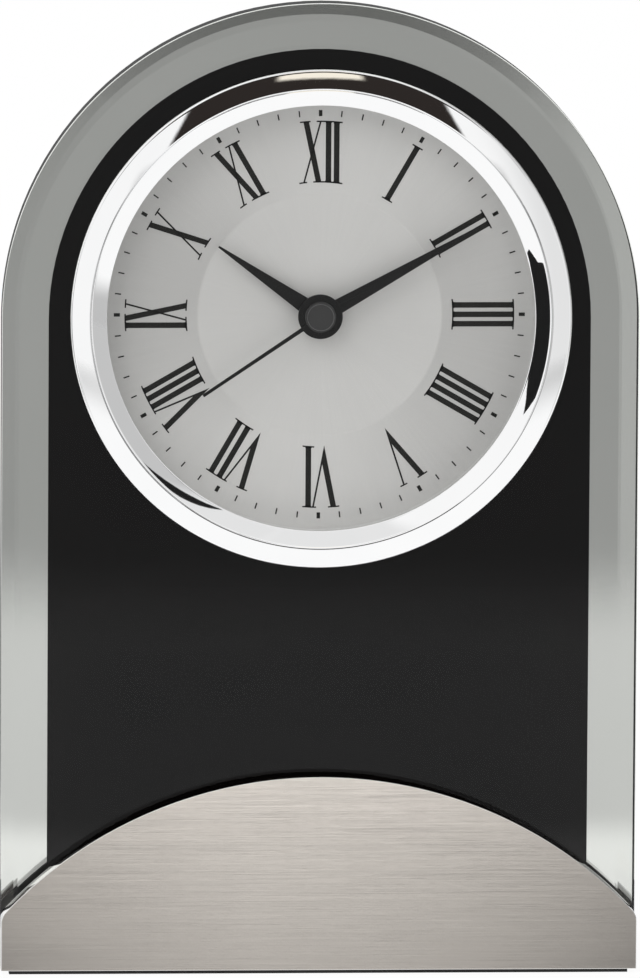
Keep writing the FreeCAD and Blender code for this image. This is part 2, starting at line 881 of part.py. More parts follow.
def make_setting_knob():
    """Fluted knob pressed on the minute wheel's arbor, outside the cover."""
    pitch = 360 / knob_flutes
    root = knob_radius - knob_flute_depth
    points = []
    for flute in range(knob_flutes):
        for radius, share in ((knob_radius, -flute_land_share), (knob_radius, flute_land_share), (root, 1 / 2)):
            point = minute_wheel_centre + direction((flute + share) * pitch) * radius
            points.append(Vector(point.x, knob_front_y, point.z))
    knob = plate(outline(*points), knob_height)
    bore = rod(knob_arbor_radius, knob_front_y - overrun, knob_front_y + knob_height / 2, minute_wheel_centre)
    return knob.cut(bore)


# Hands


def blade(angle, length, root_width, tip_width, rear_y):
    """Straight tapered strip from the middle of the dial outwards."""
    along = clockwise(angle)
    across = clockwise(angle + 90)
    front = Vector(0, rear_y - hand_thickness, 0)
    root = centre + front
    tip = root + along * length
    wire = outline(
        root - across * (root_width / 2),
        tip - across * (tip_width / 2),
        tip + across * (tip_width / 2),
        root + across * (root_width / 2),
    )
    return plate(wire, hand_thickness)


def make_hour_hand():
    """Black tapered hand, staked on the end of the outer pipe."""
    hand = blade(hour_angle, hour_hand_length, hour_hand_root_width, hour_hand_tip_width, hour_hand_y)
    hub = rod(hour_hub_radius, hour_hand_y - hand_thickness, hour_hand_y)
    hole = rod(
        minute_pipe_radius + running_clearance, hour_hand_y - hand_thickness - overrun, hour_hand_y + overrun
    )
    return joined(hand, hub).cut(hole)


def make_minute_hand():
    """Black tapered hand with a broad round boss and a short raised crease."""
    hand = blade(minute_angle, minute_hand_length, minute_hand_root_width, minute_hand_tip_width, minute_hand_y)
    boss = rod(minute_boss_radius, minute_hand_y - hand_thickness - minute_boss_rise, minute_hand_y)
    along = clockwise(minute_angle)
    across = clockwise(minute_angle + 90) * (crease_breadth / 2)
    front = Vector(0, minute_hand_y - hand_thickness - crease_rise, 0)
    near = centre + front + along * (minute_boss_radius / 2)
    far = centre + front + along * (minute_boss_radius + crease_length)
    crease = plate(outline(near - across, far, near + across), crease_rise + hand_thickness)
    hole = rod(
        seconds_arbor_radius + running_clearance, minute_hand_y - hand_thickness - minute_boss_rise - overrun,
        minute_hand_y + overrun,
    )
    return joined(hand, boss, crease).cut(hole)


def make_seconds_hand():
    """Slim black baton with a round cap, pressed on the tip of the long arbor."""
    hand = blade(
        seconds_angle, seconds_hand_length, seconds_hand_root_width, seconds_hand_tip_width, seconds_hand_y
    )
    cap_front_y = seconds_hand_y - hand_thickness - seconds_cap_rise
    cap = rod(seconds_cap_radius, cap_front_y, seconds_hand_y)
    socket = rod(seconds_arbor_radius, seconds_arbor_front_y, seconds_hand_y + overrun)
    return joined(hand, cap).cut(socket)


pieces = {
    "glass_panel": make_glass_panel,
    "mirror_border": make_mirror_border,
    "black_backing": make_black_backing,
    "foot_plate": make_foot_plate,
    "base_block": make_base_block,
    "seat_gasket": make_seat_gasket,
    "base_pad": make_base_pad,
    "bezel": make_bezel,
    "lens": make_lens,
    "reflector_ring": make_reflector_ring,
    "dial": make_dial,
    "insert_can": make_insert_can,
    "movement_case": make_movement_case,
    "movement_cover": make_movement_cover,
    "stator": make_stator,
    "coil_core": make_coil_core,
    "coil_bobbin": make_coil_bobbin,
    "coil_winding": make_coil_winding,
    "circuit_board": make_circuit_board,
    "quartz_crystal": make_quartz_crystal,
    "contact_positive": make_contact_positive,
    "contact_negative": make_contact_negative,
    "battery": make_battery,
    "rotor": make_rotor,
    "intermediate_wheel": make_intermediate_wheel,
    "seconds_wheel": make_seconds_wheel,
    "third_wheel": make_third_wheel,
    "centre_wheel": make_centre_wheel,
    "cannon_pinion": make_cannon_pinion,
    "minute_wheel": make_minute_wheel,
    "hour_wheel": make_hour_wheel,
    "setting_knob": make_setting_knob,
    "hour_hand": make_hour_hand,
    "minute_hand": make_minute_hand,
    "seconds_hand": make_seconds_hand,
}

os.makedirs("parts", exist_ok=True)
for name, make in pieces.items():
    save(name, make())
print("axis height", round(insert_z, 3), "battery travel", battery_travel)
for name, place in (
    ("third", third_centre), ("intermediate", intermediate_centre), ("rotor", rotor_centre),
    ("minute wheel", minute_wheel_centre),
):
    print(name, "arbor", round(place.x, 4), round(place.z, 4))
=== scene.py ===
import math

import bmesh
import bpy
from mathutils import Matrix, Vector


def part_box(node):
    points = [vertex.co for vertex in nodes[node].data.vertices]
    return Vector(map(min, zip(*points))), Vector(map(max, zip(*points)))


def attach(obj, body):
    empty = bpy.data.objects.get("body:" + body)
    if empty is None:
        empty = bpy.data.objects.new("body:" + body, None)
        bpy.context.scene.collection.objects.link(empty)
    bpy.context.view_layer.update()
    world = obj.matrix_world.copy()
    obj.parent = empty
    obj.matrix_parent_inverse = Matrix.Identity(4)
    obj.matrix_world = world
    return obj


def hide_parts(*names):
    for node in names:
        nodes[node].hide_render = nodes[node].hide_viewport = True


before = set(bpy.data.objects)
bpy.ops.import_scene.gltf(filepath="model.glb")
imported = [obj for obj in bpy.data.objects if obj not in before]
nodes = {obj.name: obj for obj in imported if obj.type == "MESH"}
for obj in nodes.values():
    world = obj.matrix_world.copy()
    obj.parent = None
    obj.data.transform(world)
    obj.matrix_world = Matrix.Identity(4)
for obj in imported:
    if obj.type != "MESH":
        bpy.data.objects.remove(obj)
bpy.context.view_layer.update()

# ---------------------------------------------------------------------------
# The clear panel: one sheet of float glass, cut to a half-round top, with a polished
# slope round its sides and arch and a core-drilled hole for the insert. Its square edge
# is ground and blackened, and it stands in the foot on its lower edge.
# ---------------------------------------------------------------------------
MM = 0.001
HALF_WIDTH = 57.2
PANEL_BASE = 8.3
ARCH_CENTRE = 117.8
INSERT_HEIGHT = 118.3
PANEL_FRONT = -17.5
PANEL_REAR = -12.5
CONTACT = 0.05          # the glass wets its coatings by this much
BEVEL_WIDTH = 3.1
BEVEL_DEPTH = 0.45
ARRIS = 0.25
BORE_RADIUS = 41.5
SIDE_STEPS = 48
ARCH_STEPS = 180


class Wire:
    """One output of a finish's nodes, which adds and multiplies like a number."""

    def __init__(self, finish, socket):
        self.finish = finish
        self.socket = socket

    def __add__(self, other):
        return self.finish.maths("ADD", self, other)

    def __radd__(self, other):
        return self.finish.maths("ADD", other, self)

    def __sub__(self, other):
        return self.finish.maths("SUBTRACT", self, other)

    def __rsub__(self, other):
        return self.finish.maths("SUBTRACT", other, self)

    def __mul__(self, other):
        return self.finish.maths("MULTIPLY", self, other)

    def __rmul__(self, other):
        return self.finish.maths("MULTIPLY", other, self)

    def __truediv__(self, other):
        return self.finish.maths("DIVIDE", self, other)

    def __abs__(self):
        return self.finish.maths("ABSOLUTE", self)


class Finish:
    """The nodes of one surface finish, or of the studio round the clock."""

    def __init__(self, tree):
        self.tree = tree

    def node(self, kind, settings=None, inputs=None, output=0):
        made = self.tree.nodes.new(kind)
        for name, value in (settings or {}).items():
            setattr(made, name, value)
        for key, value in (inputs or {}).items():
            if isinstance(value, Wire):
                self.tree.links.new(value.socket, made.inputs[key])
            else:
                made.inputs[key].default_value = value
        return Wire(self, made.outputs[output])

    def maths(self, operation, *parts):
        return self.node("ShaderNodeMath", {"operation": operation}, dict(enumerate(parts)))

    def place(self, output="Object"):
        return self.node("ShaderNodeTexCoord", output=output)

    def part_of(self, vector, axis):
        return self.node("ShaderNodeSeparateXYZ", inputs={0: vector}, output=axis)

    def stretched(self, scale):
        return self.node("ShaderNodeMapping", inputs={"Vector": self.place(), "Scale": scale})

    def grain(self, scale, vector=None, detail=2.0, roughness=0.5, distortion=0.0):
        inputs = {"Scale": scale, "Detail": detail, "Roughness": roughness, "Distortion": distortion}
        inputs["Vector"] = vector or self.place()
        return self.node("ShaderNodeTexNoise", inputs=inputs)

    def step(self, value, low, high, start=0.0, end=1.0):
        inputs = {"Value": value, "From Min": low, "From Max": high, "To Min": start, "To Max": end}
        return self.node("ShaderNodeMapRange", {"interpolation_type": "SMOOTHSTEP"}, inputs)

    def mixed(self, share, first, second):
        inputs = {0: share, 6: first, 7: second}
        return self.node("ShaderNodeMix", {"data_type": "RGBA"}, inputs, output=2)

    def bump(self, height, strength, distance):
        inputs = {"Height": height, "Strength": strength, "Distance": distance}
        return self.node("ShaderNodeBump", inputs=inputs)


def new_finish(name):
    """A material with an empty board of nodes."""
    material = bpy.data.materials.new(name)
    material.use_nodes = True
    material.node_tree.nodes.clear()
    return material, Finish(material.node_tree)


def close(finish, shader, kind="ShaderNodeOutputMaterial"):
    """Leads the last shader to the output."""
    out = finish.tree.nodes.new(kind)
    finish.tree.links.new(shader.socket, out.inputs["Surface"])


def principled(finish, **inputs):
    """The usual surface shader; an underscore stands for a space."""
    named = {key.replace("_", " "): value for key, value in inputs.items()}
    return finish.node("ShaderNodeBsdfPrincipled", inputs=named)


def grey(level):
    return (level, level, level, 1.0)


def colour(red, green, blue):
    return (red, green, blue, 1.0)


def arch_outline(inset, depth):
    """Points round the panel from its lower left corner over base, right side, arch and left
    side, drawn in from sides and top."""
    half = HALF_WIDTH - inset
    side = ARCH_CENTRE - PANEL_BASE
    points = [(-half + 2 * half * i / SIDE_STEPS, PANEL_BASE) for i in range(SIDE_STEPS)]
    points += [(half, PANEL_BASE + side * i / SIDE_STEPS) for i in range(SIDE_STEPS)]
    for i in range(ARCH_STEPS):
        angle = math.pi * i / ARCH_STEPS
        points.append((half * math.cos(angle), ARCH_CENTRE + half * math.sin(angle)))
    points += [(-half, ARCH_CENTRE - side * i / SIDE_STEPS) for i in range(SIDE_STEPS)]
    return [(x, depth, z) for x, z in points]


def bore_outline(radius, depth):
    """As many points round the hole as round the panel, each facing its neighbour there."""
    points = []
    for x, _, z in arch_outline(0, depth):
        angle = math.atan2(z - INSERT_HEIGHT, x)
        points.append((radius * math.cos(angle), depth, INSERT_HEIGHT + radius * math.sin(angle)))
    return points


def skin(name, loops, closed, body, smooth=35.0):
    """A piece from closed loops of points, each joined to the next. A closed skin joins the last
    loop to the first, and an open one caps both ends."""
    mesh = bmesh.new()
    rows = [[mesh.verts.new([c * MM for c in p]) for p in loop] for loop in loops]
    pairs = list(zip(rows, rows[1:] + rows[:1])) if closed else list(zip(rows, rows[1:]))
    for near, far in pairs:
        for i in range(len(near)):
            j = (i + 1) % len(near)
            mesh.faces.new((near[i], near[j], far[j], far[i]))
    if not closed:
        mesh.faces.new(rows[0])
        mesh.faces.new(reversed(rows[-1]))
    bmesh.ops.recalc_face_normals(mesh, faces=mesh.faces)
    return finish_piece(name, mesh, body, smooth)


def finish_piece(name, mesh, body, smooth):
    """Turns mesh work into a named piece that rides on a body."""
    data = bpy.data.meshes.new(name)
    mesh.to_mesh(data)
    mesh.free()
    piece = bpy.data.objects.new(name, data)
    bpy.context.scene.collection.objects.link(piece)
    data.polygons.foreach_set("use_smooth", [True] * len(data.polygons))
    data.set_sharp_from_angle(angle=math.radians(smooth))
    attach(piece, body)
    return piece


def dress(material, *pieces):
    """Gives a finish to new pieces and to nodes of the frame."""
    for piece in pieces:
        target = nodes[piece] if isinstance(piece, str) else piece
        if not target.material_slots:
            target.data.materials.append(material)
        for place in target.material_slots:
            place.material = material


panel = skin(
    "panel_glass",
    [
        arch_outline(BEVEL_WIDTH, PANEL_FRONT),
        arch_outline(ARRIS * 0.5, PANEL_FRONT + BEVEL_DEPTH),
        arch_outline(0, PANEL_FRONT + BEVEL_DEPTH + ARRIS),
        arch_outline(0, PANEL_REAR + CONTACT),
        bore_outline(BORE_RADIUS, PANEL_REAR + CONTACT),
        bore_outline(BORE_RADIUS, PANEL_FRONT),
    ],
    True, "case_group", 6.0,
)
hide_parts("glass_panel")

clear_glass, f = new_finish("clear_glass")
facing = abs(f.part_of(f.place("Normal"), 1))
ground = f.step(facing, 0.5, 0.2)
ripple = f.grain(900.0, detail=2.0)
polished = principled(
    f, Base_Color=colour(0.97, 0.99, 0.98), Roughness=0.0, Transmission_Weight=1.0, IOR=1.45,
    Normal=f.bump(f.grain(35.0, detail=1.0), 0.02, 0.0004),
)
blackened = principled(
    f, Base_Color=f.mixed(ripple, grey(0.012), grey(0.03)), Roughness=0.5 + 0.2 * ripple,
    Specular_IOR_Level=0.15, Normal=f.bump(ripple, 0.1, 0.00005),
)
close(f, f.node("ShaderNodeMixShader", inputs={0: ground, 1: polished, 2: blackened}))
dress(clear_glass, panel)

# ---------------------------------------------------------------------------
# Behind the glass: a silvered band along its edge, sealed by grey paint at the back and
# by a fine black line at its outer edge, and a field of black lacquer inside it. Both are
# on the rear face, so that they shine through the whole sheet.
# ---------------------------------------------------------------------------
EDGE_SEAL = 0.42        # width of the black line
SEAL_BLUR = 0.04

silvering, f = new_finish("silvering")
sideways = f.part_of(f.place(), 0)
above = f.maths("MAXIMUM", f.part_of(f.place(), 2) - ARCH_CENTRE * MM, 0.0)
reach = f.maths("SQRT", sideways * sideways + above * above)
seal_line = HALF_WIDTH - EDGE_SEAL
sealed = f.step(reach, (seal_line - SEAL_BLUR) * MM, (seal_line + SEAL_BLUR) * MM)
rear = f.step(f.part_of(f.place("Normal"), 1), 0.2, 0.6)
cloud = f.grain(60.0, detail=3.0)
paint = f.grain(2600.0, detail=3.0)
front_tone = f.mixed(cloud, colour(0.93, 0.935, 0.90), colour(0.97, 0.965, 0.94))
back_tone = f.mixed(paint, colour(0.20, 0.21, 0.21), colour(0.26, 0.27, 0.27))
silvered = (1 - rear) * (1 - sealed)
tone = f.mixed(rear, f.mixed(sealed, front_tone, grey(0.006)), back_tone)
close(f, principled(
    f, Base_Color=tone, Metallic=silvered, Roughness=0.03 + 0.03 * cloud + (1 - silvered) * 0.55,
    Specular_IOR_Level=0.2, Normal=f.bump(paint * rear, 0.1, 0.0001),
))
dress(silvering, "mirror_border")

black_lacquer, f = new_finish("black_lacquer")
rear = f.step(f.part_of(f.place("Normal"), 1), 0.2, 0.6)
orange_peel = f.grain(1400.0, detail=3.0)
tone = f.mixed(f.grain(45.0, detail=2.0), colour(0.0025, 0.002, 0.002), colour(0.004, 0.0032, 0.003))
close(f, principled(
    f, Base_Color=f.mixed(rear, tone, grey(0.012)), Roughness=0.4 + 0.2 * orange_peel * rear,
    Specular_IOR_Level=0.0, Normal=f.bump(orange_peel * rear, 0.15, 0.0001),
))
dress(black_lacquer, "black_backing")

# ---------------------------------------------------------------------------
# The foot's front plate: a segment of a large circle on a low rectangle, cut from
# aluminium, brushed from side to side, with its edge rounded over and buffed. The bar
# behind it is extruded aluminium, and three screws draw the plate against it.
# ---------------------------------------------------------------------------
PLATE_FRONT = -22.5
FOOT_BASE = 0.8
FOOT_TOP = 35.9
SHOULDER = 10.64
CORNER = 3.0
EDGE_ROUND = 0.14
BASE_STEPS = 40
FLANK_STEPS = 8
CORNER_STEPS = 14
BOW_STEPS = 220
SCREW_PLACES = (-38.0, 0.0, 38.0)
SCREW_HEIGHT = 4.7
SINK_FLOOR = 18.5
HEAD_RADIUS = 2.75
HEAD_TOP = SINK_FLOOR + 2.8
KEY_SIZE = 2.5
KEY_DEPTH = 1.6


def foot_outline():
    """Points round the plate: base, rounded right shoulder, arc and left shoulder."""
    rise = FOOT_TOP - SHOULDER
    radius = (rise * rise + HALF_WIDTH * HALF_WIDTH) / (2 * rise)
    middle = FOOT_TOP - radius
    corner_x = HALF_WIDTH - CORNER
    corner_z = middle + math.sqrt((radius - CORNER) ** 2 - corner_x ** 2)
    turn = math.atan2(corner_z - middle, corner_x)
    flank = corner_z - FOOT_BASE
    points = [(-HALF_WIDTH + 2 * HALF_WIDTH * i / BASE_STEPS, FOOT_BASE) for i in range(BASE_STEPS)]
    points += [(HALF_WIDTH, FOOT_BASE + flank * i / FLANK_STEPS) for i in range(FLANK_STEPS)]
    for i in range(CORNER_STEPS):
        angle = turn * i / CORNER_STEPS
        points.append((corner_x + CORNER * math.cos(angle), corner_z + CORNER * math.sin(angle)))
    for i in range(BOW_STEPS):
        angle = turn + (math.pi - 2 * turn) * i / BOW_STEPS
        points.append((radius * math.cos(angle), middle + radius * math.sin(angle)))
    for i in range(CORNER_STEPS):
        angle = turn * (1 - i / CORNER_STEPS)
        points.append((-corner_x - CORNER * math.cos(angle), corner_z + CORNER * math.sin(angle)))
    points += [(-HALF_WIDTH, corner_z - flank * i / FLANK_STEPS) for i in range(FLANK_STEPS)]
    return points


def drawn_in(points, amount, depth):
    """An outline moved inwards by the same amount all round."""
    result = []
    count = len(points)
    for i, (x, z) in enumerate(points):
        before = Vector(points[i - 1])
        after = Vector(points[(i + 1) % count])
        here = Vector((x, z))
        first = (here - before).normalized()
        second = (after - here).normalized()
        normal = Vector((-first.y - second.y, first.x + second.x)).normalized()
        spread = max(0.5, normal.dot(Vector((-first.y, first.x))))
        moved = here + normal * amount / spread
        result.append((moved.x, depth, moved.y))
    return result


def edge_round(points, amount, depth, steps=5):
    """Loops of a quarter round from the face to the side."""
    loops = []
    for i in range(steps + 1):
        angle = math.pi / 2 * i / steps
        sunk = amount * (1 - math.cos(angle))
        loops.append(drawn_in(points, amount * (1 - math.sin(angle)), depth + sunk))
    return loops


plate_front_piece = skin(
    "foot_front",
    edge_round(foot_outline(), EDGE_ROUND, PLATE_FRONT) + [drawn_in(foot_outline(), 0, PANEL_FRONT)],
    False, "case_group", 25.0,
)
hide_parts("foot_plate")

brushed_aluminium, f = new_finish("brushed_aluminium")
facing = abs(f.part_of(f.place("Normal"), 1))
brushed = f.step(facing, 0.9, 0.99)
lines = f.grain(1.0, f.stretched((45.0, 900.0, 15000.0)), detail=4.0, roughness=0.65)
broad = f.grain(1.0, f.stretched((14.0, 60.0, 900.0)), detail=3.0, roughness=0.6)
streak = f.step(0.7 * lines + 0.3 * broad, 0.25, 0.75)
# Painted light and shade: the brushed face is coloured lighter at the top middle and darker towards the
# bottom and both sides, the right a little more.
sideways = f.part_of(f.place(), 0) / (HALF_WIDTH * MM)
downward = 1 - f.part_of(f.place(), 2) / (FOOT_TOP * MM)
painted_sheen = 1.3 - 0.88 * downward + 0.24 * downward * downward
painted_sheen = painted_sheen - 0.25 * sideways * sideways - 0.03 * sideways
tone = f.mixed(streak, colour(0.70, 0.655, 0.605), colour(0.84, 0.785, 0.725))
tone = f.node("ShaderNodeVectorMath", {"operation": "SCALE"}, {0: tone, "Scale": painted_sheen})
close(f, principled(
    f, Base_Color=f.mixed(brushed, colour(0.86, 0.85, 0.83), tone), Metallic=1.0,
    Roughness=brushed * (0.26 + 0.16 * streak) + (1 - brushed) * 0.06,
    Normal=f.bump(streak * brushed, 0.35, 0.00006),
))
dress(brushed_aluminium, plate_front_piece)

block_aluminium, f = new_finish("block_aluminium")
along = f.grain(1.0, f.stretched((30.0, 2600.0, 2600.0)), detail=4.0, roughness=0.6)
tone = f.mixed(along, colour(0.50, 0.50, 0.50), colour(0.74, 0.74, 0.73))
close(f, principled(
    f, Base_Color=tone, Metallic=1.0, Roughness=0.3 + 0.18 * along, Normal=f.bump(along, 0.3, 0.00006),
))
dress(block_aluminium, "base_block")


def circle(radius, depth, at=(0.0, INSERT_HEIGHT), count=48):
    """Points round a circle that faces the front."""
    angles = [i * (2 * math.pi / count) for i in range(count)]
    return [(at[0] + radius * math.cos(a), depth, at[1] + radius * math.sin(a)) for a in angles]


def hexagon(across, depth, at, count=48):
    """Points round a hexagonal socket, as many as round a circle."""
    points = []
    for i in range(count):
        angle = 2 * math.pi * i / count
        from_flat = (angle + math.pi / 6) % (math.pi / 3) - math.pi / 6
        reach = across / 2 / math.cos(from_flat)
        points.append((at[0] + reach * math.cos(angle), depth, at[1] + reach * math.sin(angle)))
    return points


screws = []
for number, x in enumerate(SCREW_PLACES):
    at = (x, SCREW_HEIGHT)
    screws.append(skin(
        f"foot_screw_{number + 1}",
        [
            circle(HEAD_RADIUS - 0.15, SINK_FLOOR + 0.02, at),
            circle(HEAD_RADIUS, SINK_FLOOR + 0.2, at),
            circle(HEAD_RADIUS, HEAD_TOP - 0.35, at),
            circle(HEAD_RADIUS - 0.15, HEAD_TOP - 0.08, at),
            circle(HEAD_RADIUS - 0.4, HEAD_TOP, at),
            hexagon(KEY_SIZE + 0.2, HEAD_TOP, at),
            hexagon(KEY_SIZE, HEAD_TOP - 0.15, at),
            hexagon(KEY_SIZE, HEAD_TOP - KEY_DEPTH, at),
        ],
        False, "case_group", 30.0,
    ))

black_screw, f = new_finish("black_screw")
wear = f.grain(2200.0, detail=4.0)
close(f, principled(
    f, Base_Color=f.mixed(wear, grey(0.018), grey(0.05)), Metallic=0.85, Roughness=0.3 + 0.2 * wear,
    Normal=f.bump(wear, 0.1, 0.00005),
))
dress(black_screw, *screws)

# ---------------------------------------------------------------------------
# Rubber parts: a strip folded round the foot of the glass keeps it off the metal, and a
# die-cut sheet under the foot keeps the metal off the shelf.
# ---------------------------------------------------------------------------
black_rubber, f = new_finish("black_rubber")
fine = f.grain(5200.0, detail=3.0)
coarse = f.grain(420.0, detail=2.0)
close(f, principled(
    f, Base_Color=f.mixed(coarse, grey(0.012), grey(0.022)), Roughness=0.72 + 0.16 * fine,
    Normal=f.bump(fine, 0.35, 0.00008),
))
dress(black_rubber, "seat_gasket", "base_pad")

# ---------------------------------------------------------------------------
# The bezel: a ring turned from brass, polished and chromed. Its rim is rounded, its land
# rises in a low crown to a fine turned line, and a steep slope leads down to the lens.
# ---------------------------------------------------------------------------
BEZEL_RADIUS = 45.0
BEZEL_REAR = -17.52
LENS_FRONT = -18.0
RIM_ROUND = 0.45
RIM_RISE = 0.42
RIM_FRONT = -18.82
RIM_STEPS = 8
LAND_WIDTH = 2.95
LAND_RISE = 0.6
LAND_STEPS = 24
CROWN = 0.015
TURNED_LINE = [(41.57, -19.3), (41.44, -19.28), (41.36, -19.4), (41.28, -19.57), (41.2, -19.59)]
SLOPE_TOP = 41.1
SLOPE_FRONT = -19.56
SLOPE_WIDTH = 2.55
SLOPE_DROP = 1.4
SLOPE_BOW = 0.1
SLOPE_STEPS = 16
RING_INNER = 38.5
RING_SEAT = 43.9
AROUND = 360


def ring_skin(name, profile, body, smooth=20.0, count=AROUND):
    """A turned piece: a closed profile of radii and depths carried round the insert's axis."""
    loops = [circle(radius, depth, count=count) for radius, depth in profile]
    return skin(name, loops, True, body, smooth)


def bezel_profile():
    """Rim, crowned land, turned line, slope and the back of the ring."""
    land_start = BEZEL_RADIUS - RIM_ROUND
    profile = [(BEZEL_RADIUS, BEZEL_REAR), (BEZEL_RADIUS, RIM_FRONT + RIM_RISE + 0.02)]
    for i in range(1, RIM_STEPS + 1):
        angle = math.pi / 2 * i / RIM_STEPS
        depth = RIM_FRONT + RIM_RISE * (1 - math.sin(angle))
        profile.append((land_start + RIM_ROUND * math.cos(angle), depth))
    for i in range(1, LAND_STEPS + 1):
        share = i / LAND_STEPS
        crown = CROWN * (1 - (2 * share - 1) ** 2)
        profile.append((land_start - LAND_WIDTH * share, RIM_FRONT - LAND_RISE * share - crown))
    profile += TURNED_LINE
    for i in range(SLOPE_STEPS + 1):
        share = i / SLOPE_STEPS
        depth = SLOPE_FRONT + SLOPE_DROP * share + SLOPE_BOW * share * share
        profile.append((SLOPE_TOP - SLOPE_WIDTH * share, depth))
    profile += [(RING_INNER - 0.05, LENS_FRONT - 0.02), (RING_INNER, LENS_FRONT)]
    return profile + [(RING_SEAT, LENS_FRONT), (RING_SEAT, BEZEL_REAR)]


bezel = ring_skin("bezel_ring", bezel_profile(), "case_group")
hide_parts("bezel")
reflector = ring_skin(
    "reflector_wall",
    [
        (39.3, -16.8), (38.75, -16.8), (38.6, -16.74), (38.6, -14.6), (38.66, -14.55),
        (38.66, -14.45), (38.6, -14.4), (38.6, -12.16), (38.66, -12.1), (39.3, -12.1),
    ],
    "case_group",
)
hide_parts("reflector_ring")

chrome, f = new_finish("chrome")
smear = f.grain(70.0, detail=3.0)
close(f, principled(
    f, Base_Color=f.mixed(smear, colour(0.90, 0.905, 0.91), colour(0.95, 0.95, 0.95)), Metallic=1.0,
    Roughness=0.012 + 0.02 * smear, Normal=f.bump(f.grain(900.0, detail=2.0), 0.015, 0.00005),
))
dress(chrome, bezel, reflector)

# ---------------------------------------------------------------------------
# The lens: a disc of thin mineral glass pressed under the bezel's lip. It is clear to the
# dial behind it and throws back only a little of the studio.
# ---------------------------------------------------------------------------
lens_glass, f = new_finish("lens_glass")
clear = f.node("ShaderNodeBsdfTransparent", inputs={"Color": grey(0.985)})
shine = f.node("ShaderNodeBsdfGlossy", inputs={"Color": grey(1.0), "Roughness": 0.01})
tilt = f.node("ShaderNodeLayerWeight", inputs={"Blend": 0.5}, output="Facing")
dust = f.grain(260.0, detail=3.0)
bounce = 0.018 + 0.9 * tilt * tilt * tilt * tilt * tilt
close(f, f.node("ShaderNodeMixShader", inputs={0: bounce * (0.9 + 0.1 * dust), 1: clear, 2: shine}))
dress(lens_glass, "lens")

# ---------------------------------------------------------------------------
# The dial: a stamped disc with a sunk centre, silver-plated and lacquered satin. Its colour has
# painted fans of light and shade, lighter above and below. Its print is a raised film of black ink.
# ---------------------------------------------------------------------------
DIAL_FRONT = -12.1
DIAL_RADIUS = 39.0
DIAL_SHEET = 0.5
SUNK_RADIUS = 21.9
SUNK_DEPTH = 0.12
PIPE_HOLE = 3.3
INK = 0.03

dial = ring_skin(
    "dial_disc",
    [
        (PIPE_HOLE, DIAL_FRONT + SUNK_DEPTH),
        (SUNK_RADIUS - 0.35, DIAL_FRONT + SUNK_DEPTH),
        (SUNK_RADIUS - 0.1, DIAL_FRONT + SUNK_DEPTH * 0.75),
        (SUNK_RADIUS + 0.1, DIAL_FRONT + SUNK_DEPTH * 0.25),
        (SUNK_RADIUS + 0.35, DIAL_FRONT),
        (DIAL_RADIUS, DIAL_FRONT),
        (DIAL_RADIUS, DIAL_FRONT + DIAL_SHEET),
        (PIPE_HOLE, DIAL_FRONT + DIAL_SHEET),
    ],
    "case_group", 60.0,
)
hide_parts("dial")


def round_the_arbor(finish):
    """How far a point lies to the side of the arbor, above it, and away from it in all."""
    across = finish.part_of(finish.place(), 0)
    upward = finish.part_of(finish.place(), 2) - INSERT_HEIGHT * MM
    return across, upward, finish.maths("SQRT", across * across + upward * upward)


silver_dial, f = new_finish("silver_dial")
across, upward, radius = round_the_arbor(f)
fan = f.maths("ARCTAN2", upward, across)
# Painted light and shade: fans lighter above and below the arbor and darker to its sides, stronger on the
# outer ring.
painted_fans = f.maths("COSINE", 2.0 * fan + 0.35)
ray_place = f.node("ShaderNodeCombineXYZ", inputs={0: fan * 60.0, 1: radius * 40.0, 2: 0.0})
rays = f.grain(1.0, ray_place, detail=3.0)
cloud = f.grain(55.0, detail=3.0)
outer = f.step(radius, (SUNK_RADIUS - 0.3) * MM, (SUNK_RADIUS + 0.4) * MM)
level = 0.64 - 0.02 * painted_fans + 0.05 * rays + 0.06 * cloud - outer * (0.05 + 0.06 * painted_fans)
warm = f.mixed(level, grey(0.0), colour(1.0, 0.995, 0.97))
close(f, principled(
    f, Base_Color=warm, Metallic=0.25, Roughness=0.5 + 0.1 * rays,
    Normal=f.bump(rays + f.grain(2400.0, detail=2.0) * 0.5, 0.06, 0.00005),
))
dress(silver_dial, dial)

NUMERAL_RADIUS = 29.45
NUMERAL_HALF = 5.58
THICK = 1.0
THIN = 0.31
SERIF = 0.25
BRACKET = 0.2
SERIF_STEP = 0.8
V_OVERSHOOT = 0.15
MARK_INNER = 35.85
MARK_OUTER = 36.95
HOUR_MARK = 0.63
MINUTE_MARK = 0.24


def upright(u):
    """One thick stroke of an I, spread at both ends into its serifs."""
    left = u - THICK / 2
    right = u + THICK / 2
    foot = ((left, -NUMERAL_HALF), (right, -NUMERAL_HALF))
    patches = [foot + ((right, NUMERAL_HALF), (left, NUMERAL_HALF))]
    for end in (-1, 1):
        edge = end * NUMERAL_HALF
        root = end * (NUMERAL_HALF - SERIF - BRACKET)
        patches.append(((left, root), (left - BRACKET, edge), (right + BRACKET, edge), (right, root)))
    return patches


def bar(left, right, top):
    """A serif line along the head or the foot of a numeral, in steps short enough to curve."""
    edge = NUMERAL_HALF if top else -NUMERAL_HALF
    inward = -SERIF if top else SERIF
    count = math.ceil((right - left) / SERIF_STEP)
    ends = [left + (right - left) * i / count for i in range(count + 1)]
    patches = []
    for a, b in zip(ends, ends[1:]):
        patches.append(((a, edge), (b, edge), (b, edge + inward), (a, edge + inward)))
    return patches


def slanted(foot, head, width):
    """A sloping stroke whose width is measured along the line."""
    return [((foot - width / 2, -NUMERAL_HALF), (foot + width / 2, -NUMERAL_HALF),
             (head + width / 2, NUMERAL_HALF), (head - width / 2, NUMERAL_HALF))]


